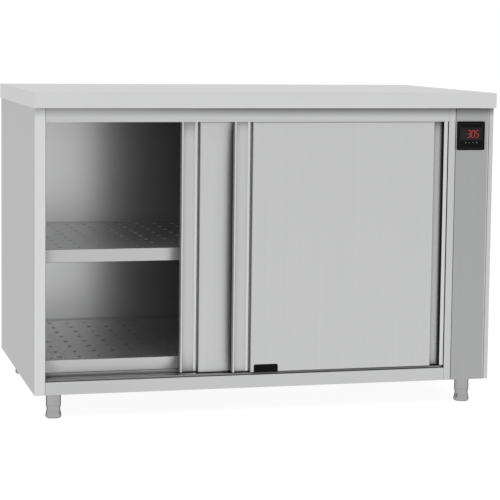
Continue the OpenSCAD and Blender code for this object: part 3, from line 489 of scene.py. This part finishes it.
def plates(name, outlines, y_front, y_back, chamfer=0.0):
    """Mesh of upright plates: each outline is (x, z) corners in mm, seen from the front."""
    bm = bmesh.new()
    for outline in outlines:
        front = [bm.verts.new((x * MM, y_front * MM, z * MM)) for x, z in outline]
        back = [bm.verts.new((x * MM, y_back * MM, z * MM)) for x, z in outline]
        face = bm.faces.new(front)
        bm.faces.new(back[::-1])
        for i in range(len(outline)):
            j = (i + 1) % len(outline)
            bm.faces.new((front[i], back[i], back[j], front[j]))
        if chamfer:
            bmesh.ops.bevel(bm, geom=list(face.edges), offset=chamfer * MM, segments=2,
                            affect="EDGES", profile=0.6)
    bmesh.ops.recalc_face_normals(bm, faces=bm.faces)
    return mesh_of(bm, name)


def front_of(node_name):
    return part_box(node_name)[0].y / MM


def middle(node_name):
    low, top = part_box(node_name)
    return (low + top) / 2 / MM


# Seven-segment digits on the display filter: three lit ones and one that stays dark
DIGIT_W, DIGIT_H, STROKE, BAR_GAP = 9.4, 19.5, 1.7, 0.35
SLANT = math.tan(math.radians(7))
SEGMENTS = {"3": "abcdg", "0": "abcdef", "5": "acdfg", "8": "abcdefg"}
DIGITS_RIGHT, DIGITS_UP, DIGIT_PITCH, UNLIT_PITCH = 5.0, 4.7, 11.4, 13.0
LIT_PROUD, UNLIT_PROUD = 0.12, 0.08


def bar(x0, z0, x1, z1):
    """Hexagonal bar between two points of a digit."""
    half = STROKE / 2
    if z0 == z1:
        a, b = x0 + BAR_GAP, x1 - BAR_GAP
        return [(a, z0), (a + half, z0 - half), (b - half, z0 - half), (b, z0),
                (b - half, z0 + half), (a + half, z0 + half)]
    a, b = z0 + BAR_GAP, z1 - BAR_GAP
    return [(x0, a), (x0 + half, a + half), (x0 + half, b - half), (x0, b),
            (x0 - half, b - half), (x0 - half, a + half)]


def digit(character, x, z):
    w, h = DIGIT_W / 2 - STROKE / 2, DIGIT_H / 2 - STROKE / 2
    bars = {"a": bar(-w, h, w, h), "b": bar(w, 0, w, h), "c": bar(w, -h, w, 0),
            "d": bar(-w, -h, w, -h), "e": bar(-w, -h, -w, 0), "f": bar(-w, 0, -w, h),
            "g": bar(-w, 0, w, 0)}
    return [[(x + px + pz * SLANT, z + pz) for px, pz in bars[s]] for s in SEGMENTS[character]]


bezel = middle("controller_bezel")
window_front = front_of("display_window")
digit_z = bezel.z + DIGITS_UP
digit_x = [bezel.x + DIGITS_RIGHT + step * DIGIT_PITCH for step in (-1, 0, 1)]
shown = sum((digit(c, x, digit_z) for c, x in zip("305", digit_x)), [])
dark = digit("8", digit_x[0] - UNLIT_PITCH, digit_z)
for name, bars, proud, mat in (("display_digits", shown, LIT_PROUD, red),
                               ("display_digit_unlit", dark, UNLIT_PROUD, unlit)):
    mesh = plates(name, bars, window_front - proud, window_front)
    piece(name, mesh, mat, "cabinet")

# Symbols printed on the keys, with angles in degrees
INK_PROUD = 0.06
RING_OUTER, RING_INNER, DOT_OUTER, DOT_INNER, DOT_STEPS = 1.7, 1.2, 0.6, 0.05, 10
POWER_GAP_END, POWER_SWEEP, FULL_TURN = 120, 300, 360
STEM_HALF, STEM_LOW, STEM_HIGH = 0.3, 0.2, 2.0
CHEVRON_HALF, CHEVRON_DROP, CHEVRON_INNER, CHEVRON_TIP = 1.8, 0.9, 0.7, 1.6


def ring(x, z, outer, inner, start, sweep, steps=20):
    turns = [math.radians(start + sweep * i / steps) for i in range(steps + 1)]
    rays = [(math.cos(t), math.sin(t)) for t in turns]
    return [[(x + r * c, z + r * s) for r, (c, s) in
             ((outer, a), (inner, a), (inner, b), (outer, b))] for a, b in zip(rays, rays[1:])]


def power_symbol(x, z):
    stem = [(x - STEM_HALF, z + STEM_LOW), (x + STEM_HALF, z + STEM_LOW),
            (x + STEM_HALF, z + STEM_HIGH), (x - STEM_HALF, z + STEM_HIGH)]
    return ring(x, z, RING_OUTER, RING_INNER, POWER_GAP_END, POWER_SWEEP) + [stem]


def set_symbol(x, z):
    return (ring(x, z, RING_OUTER, RING_INNER, 0, FULL_TURN)
            + ring(x, z, DOT_OUTER, DOT_INNER, 0, FULL_TURN, DOT_STEPS))


def chevron(x, z, way):
    inner, tip = (x, z + CHEVRON_INNER * way), (x, z + CHEVRON_TIP * way)
    left, right, foot = x - CHEVRON_HALF, x + CHEVRON_HALF, z - CHEVRON_DROP * way
    return [[(left, foot), inner, tip, (left, z)], [inner, (right, foot), (right, z), tip]]


def down_symbol(x, z):
    return chevron(x, z, -1)


def up_symbol(x, z):
    return chevron(x, z, 1)


for button, symbol in (("key_power", power_symbol), ("key_down", down_symbol),
                       ("key_up", up_symbol), ("key_set", set_symbol)):
    at = middle(button)
    button_front = front_of(button)
    mesh = plates(button + "_symbol", symbol(at.x, at.z), button_front - INK_PROUD, button_front)
    piece(button + "_symbol", mesh, ink, button)

# Line round the thermostat's bezel: half width and corner radius outside and inside
LINE_OUTER, LINE_INNER = (31.4, 2.0), (30.6, 1.4)
LINE_PROUD, BEZEL_STEP = 0.08, 1.0


def rounded(x0, x1, z0, z1, r, steps=6):
    corners = ((x1 - r, z1 - r, 0), (x0 + r, z1 - r, 90),
               (x0 + r, z0 + r, 180), (x1 - r, z0 + r, 270))
    outline = []
    for cx, cz, start in corners:
        for i in range(steps + 1):
            a = math.radians(start + 90 * i / steps)
            outline.append((cx + r * math.cos(a), cz + r * math.sin(a)))
    return outline


def round_bezel(half, r):
    return rounded(bezel.x - half, bezel.x + half, bezel.z - half, bezel.z + half, r)


def strip_between(outer, inner):
    after = [(i + 1) % len(outer) for i in range(len(outer))]
    return [[outer[i], inner[i], inner[j], outer[j]] for i, j in enumerate(after)]


bezel_front = front_of("controller_bezel") + BEZEL_STEP
line = strip_between(round_bezel(*LINE_OUTER), round_bezel(*LINE_INNER))
piece("bezel_line", plates("bezel_line", line, bezel_front - LINE_PROUD, bezel_front),
      rim_grey, "cabinet")

# Pads on the guide shoes, in the notches of the doors
PAD_INSET, PAD_LIFT, PAD_R, PAD_PROUD, PAD_CHAMFER = 3.0, 1.5, 3.0, 0.3, 0.2
for door in DOORS:
    low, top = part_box(door + "_shoe")
    door_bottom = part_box(door + "_skin")[0].z / MM
    shoe_front = front_of(door + "_shoe")
    pad = rounded(low.x / MM + PAD_INSET, top.x / MM - PAD_INSET, door_bottom + PAD_LIFT,
                  top.z / MM - PAD_INSET, PAD_R)
    mesh = plates(door + "_shoe_pad", [pad], shoe_front - PAD_PROUD, shoe_front, PAD_CHAMFER)
    piece(door + "_shoe_pad", mesh, black_plastic, door)

# Door faces with the rounded folds of their lips, grip channels and panels
# Finishes of a door face's stretches; WALL and RECESS are darker copies of the steel as painted
# shade, FOLDED and FLANK lighter ones as painted highlight and painted light
FOLDED, CHANNEL, DEEP, WALL, RECESS, PANEL, FLANK = range(7)
FACE_STEELS = (steel_edge, steel_channel, steel_deep, steel_wall, steel_recess, steel_door,
               steel_flank)
LIP_LEFT, CHANNEL_LEFT, LIP_RIGHT, CHANNEL_RIGHT, SUNK = 4.0, 41.0, 9.5, 27.5, 15.0
LIP_BEND, FLOOR_BEND, RISE_BEND, UNDER_BEND, OUTER_BEND = 0.9, 1.5, 8.0, 3.0, 1.8
PANEL_LEFT_BEND, PANEL_RIGHT_BEND = 2.4, 1.6
CROWN_TURN, CROWN_STEPS = math.radians(42), 10
SHOE_PLAY, NOTCH_R, BELOW_DOOR, SHEET = 0.25, 5.0, 20.0, 1.0


def fold(at, before, after, radius, steps=8):
    """Points that round the corner of a path that comes from one point and goes to another."""
    a, b = (Vector(before) - Vector(at)).normalized(), (Vector(after) - Vector(at)).normalized()
    centre = Vector(at) + (a + b) * radius
    turns = (i / steps * math.pi / 2 for i in range(steps + 1))
    return [centre - b * radius * math.cos(t) - a * radius * math.sin(t) for t in turns]


def door_outline(wide, deep):
    """Points of a door's section from left to right, each with its stretch's finish."""
    lip = wide - LIP_RIGHT
    left, right = LIP_LEFT + CHANNEL_LEFT, lip - CHANNEL_RIGHT
    corners = [((0, 0), LIP_BEND, FLANK, FOLDED), ((LIP_LEFT, 0), LIP_BEND, FOLDED, FOLDED),
               ((LIP_LEFT, SUNK), FLOOR_BEND, WALL, CHANNEL),
               ((left, SUNK), RISE_BEND, CHANNEL, FOLDED),
               ((left, 0), PANEL_LEFT_BEND, WALL, WALL),
               ((right, 0), PANEL_RIGHT_BEND, PANEL, FOLDED),
               ((right, SUNK), FLOOR_BEND, WALL, DEEP), ((lip, SUNK), UNDER_BEND, DEEP, RECESS)]
    places = [(0, deep)] + [c[0] for c in corners] + [(lip, 0)]
    outline = [(Vector(places[0]), FOLDED)]
    for i, (at, radius, run, turn) in enumerate(corners):
        points = fold(at, places[i], places[i + 2], radius)
        outline += [(points[0], run)] + [(q, turn) for q in points[1:]]
    crown = (LIP_RIGHT - OUTER_BEND) / math.sin(CROWN_TURN)
    for i in range(CROWN_STEPS + 1):
        turn = CROWN_TURN * (1 - i / CROWN_STEPS)
        at = Vector((wide - OUTER_BEND - crown * math.sin(turn), crown * (1 - math.cos(turn))))
        outline.append((at, FOLDED if i else RECESS))
    outline += [(q, FOLDED) for q in fold((wide, 0), (lip, 0), (wide, deep), OUTER_BEND)[1:]]
    return outline + [(Vector((wide, deep)), FOLDED)]


def door_face(door):
    """Sheet face of a door with a notch for its guide shoe."""
    low, top = (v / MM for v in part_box(door + "_skin"))
    outline = door_outline(top.x - low.x, top.y - low.y)
    shoe_low, shoe_top = (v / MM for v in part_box(door + "_shoe"))
    notch = rounded(shoe_low.x - SHOE_PLAY, shoe_top.x + SHOE_PLAY, low.z - BELOW_DOOR,
                    shoe_top.z + SHOE_PLAY, NOTCH_R)
    over = sorted(((x, z) for x, z in notch if z > low.z), key=lambda c: c[0])
    foot = [(over[0][0], low.z)] + over + [(over[-1][0], low.z)]
    bm = bmesh.new()
    columns = [[bm.verts.new(((low.x + q.x) * MM, (low.y + q.y) * MM, z * MM))
                for z in (low.z, top.z)] for q, _ in outline]
    for a, b, (_, finish) in zip(columns, columns[1:], outline[1:]):
        loop = [a[0], b[0], b[1], a[1]]
        if finish == PANEL:
            loop[1:1] = [bm.verts.new((x * MM, low.y * MM, z * MM)) for x, z in foot]
        bm.faces.new(loop).material_index = finish
    mesh = mesh_of(bm, door + "_face")
    face = piece(door + "_face", mesh, FACE_STEELS[0], door)
    for mat in FACE_STEELS[1:]:
        mesh.materials.append(mat)
    sheet = face.modifiers.new("sheet", "SOLIDIFY")
    sheet.thickness, sheet.offset = SHEET * MM, -1.0
    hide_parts(door + "_skin")


for door in DOORS:
    door_face(door)

# Pan-head screws with cross recesses in place of the plain ones, sizes in m
HEAD_R, HEAD_H, RIM_SHARE, DOME_SHARE, DOME_POWER = 4.5 * MM, 2.4 * MM, 0.35, 0.65, 0.6
CROSS_REACH, CROSS_HALF, CROSS_DEEP = 2.6 * MM, 0.55 * MM, 0.9 * MM
PER_COLUMN, HEAD_RINGS, HEAD_SIDES = 5, 10, 32


def screw_head(bm, cx, base, cz):
    """Dome on a low rim, pressed in along a cross."""
    rings = [(HEAD_R, base)]
    for s in range(HEAD_RINGS):
        t = s / HEAD_RINGS * math.pi / 2
        rings.append((HEAD_R * math.cos(t) ** DOME_POWER,
                      base + HEAD_H * (RIM_SHARE + DOME_SHARE * math.sin(t))))
    loops = []
    for r, y in rings:
        loop = []
        for i in range(HEAD_SIDES):
            a = 2 * math.pi * i / HEAD_SIDES
            px, pz = r * math.cos(a), r * math.sin(a)
            near, far = sorted((abs(px), abs(pz)))
            drop = CROSS_DEEP if near < CROSS_HALF and far < CROSS_REACH else 0.0
            loop.append(bm.verts.new((cx + px, y - drop, cz + pz)))
        loops.append(loop)
    tip = bm.verts.new((cx, base + HEAD_H - CROSS_DEEP, cz))
    after = [(i + 1) % HEAD_SIDES for i in range(HEAD_SIDES)]
    for a, b in zip(loops, loops[1:]):
        for i, j in enumerate(after):
            bm.faces.new((a[i], a[j], b[j], b[i]))
    for i, j in enumerate(after):
        bm.faces.new((loops[-1][i], loops[-1][j], tip))
    bm.faces.new(loops[0][::-1])


def screw_heads(name):
    low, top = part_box(name)
    step = (top.z - low.z - 2 * HEAD_R) / (PER_COLUMN - 1)
    bm = bmesh.new()
    for cx in (low.x + HEAD_R, top.x - HEAD_R):
        for i in range(PER_COLUMN):
            screw_head(bm, cx, top.y - HEAD_H, low.z + HEAD_R + i * step)
    bmesh.ops.recalc_face_normals(bm, faces=bm.faces)
    return mesh_of(bm, name + "_heads")


heads = piece("back_screw_heads", screw_heads("back_panel_screws"), galvanised, "cabinet")
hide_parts("back_panel_screws")

# Floor: white to the camera and in reflections, with a soft shadow
FLOOR_HALF, FLOOR_DROP = 30.0, 0.0005
GROUND, PAPER, PAPER_GLOW, WHITE = 0.80, 0.17, 0.90, 1.0


def shown_as_background(tree):
    """1 for rays of the camera, of reflections and through glass, which see the background."""
    path = tree.nodes.new("ShaderNodeLightPath")
    seen = path.outputs["Is Camera Ray"]
    for kind in ("Is Glossy Ray", "Is Transmission Ray"):
        seen = math_node(tree, "MAXIMUM", seen, path.outputs[kind])
    return seen


def floor_material():
    mat, tree, shader = material("studio_floor")
    tree.nodes.remove(shader)
    ground = add(tree, "ShaderNodeBsdfDiffuse", Color=grey(GROUND))
    paper = add(tree, "ShaderNodeBsdfDiffuse", Color=grey(PAPER))
    white = add(tree, "ShaderNodeEmission", Color=grey(WHITE), Strength=PAPER_GLOW)
    bright = tree.nodes.new("ShaderNodeAddShader")
    mix = tree.nodes.new("ShaderNodeMixShader")
    output = tree.nodes["Material Output"]
    for start, end in ((paper.outputs[0], bright.inputs[0]), (white.outputs[0], bright.inputs[1]),
                       (shown_as_background(tree), mix.inputs[0]),
                       (ground.outputs[0], mix.inputs[1]), (bright.outputs[0], mix.inputs[2]),
                       (mix.outputs[0], output.inputs["Surface"])):
        tree.links.new(start, end)
    return mat


floor_mesh = bpy.data.meshes.new("floor")
floor_mesh.from_pydata([(-FLOOR_HALF, -FLOOR_HALF, 0), (FLOOR_HALF, -FLOOR_HALF, 0),
                        (FLOOR_HALF, FLOOR_HALF, 0), (-FLOOR_HALF, FLOOR_HALF, 0)], [],
                       [(0, 1, 2, 3)])
floor = bpy.data.objects.new("floor", floor_mesh)
scene.collection.objects.link(floor)
floor_mesh.materials.append(floor_material())
floor.location.z = -FLOOR_DROP

# Studio: plain white light from all sides and a soft box at the front left
LAMP_SIZE, LAMP_WATTS = (2.4, 1.6), 40.0
LAMP_PLACE, LAMP_AIM = (-2.2, -2.6, 3.0), (0, 0, 0.5)


def studio_world():
    world = bpy.data.worlds.new("studio")
    world.use_nodes = True
    background = world.node_tree.nodes["Background"]
    background.inputs["Color"].default_value = grey(WHITE)
    background.inputs["Strength"].default_value = 1.0
    return world


scene.world = studio_world()

softbox = bpy.data.lights.new("key_softbox", "AREA")
softbox.shape = "RECTANGLE"
softbox.size, softbox.size_y = LAMP_SIZE
softbox.energy = LAMP_WATTS
lamp = bpy.data.objects.new("key_softbox", softbox)
scene.collection.objects.link(lamp)
lamp.location = LAMP_PLACE
lamp.rotation_euler = (Vector(LAMP_AIM) - lamp.location).to_track_quat("-Z", "Y").to_euler()

# Camera at the photograph's angle: focal length and frame in pixels, sensor in mm, place in m
FOCAL_PX, FRAME_PX, SENSOR = 1754.5, 500.0, 36.0
SHIFT_X, SHIFT_Y, CLIP_END = 0.07, -0.11, 200.0
CAMERA_PLACE = (-1.1894, -4.5857, 0.9590)
RIGHT = Vector((0.971233, -0.237911, 0.010271))
UP = Vector((0.011786, 0.091106, 0.995771))
FORWARD = Vector((0.237841, 0.967005, -0.091289))

camera = bpy.data.cameras.new("camera")
camera.sensor_width = SENSOR
camera.lens = FOCAL_PX / FRAME_PX * SENSOR
camera.shift_x, camera.shift_y = SHIFT_X, SHIFT_Y
camera.clip_end = CLIP_END
view = bpy.data.objects.new("camera", camera)
scene.collection.objects.link(view)
aim = Matrix((RIGHT, UP, -FORWARD)).transposed().to_4x4()
view.matrix_world = Matrix.Translation(CAMERA_PLACE) @ aim
scene.camera = view

scene.view_settings.view_transform = "Standard"
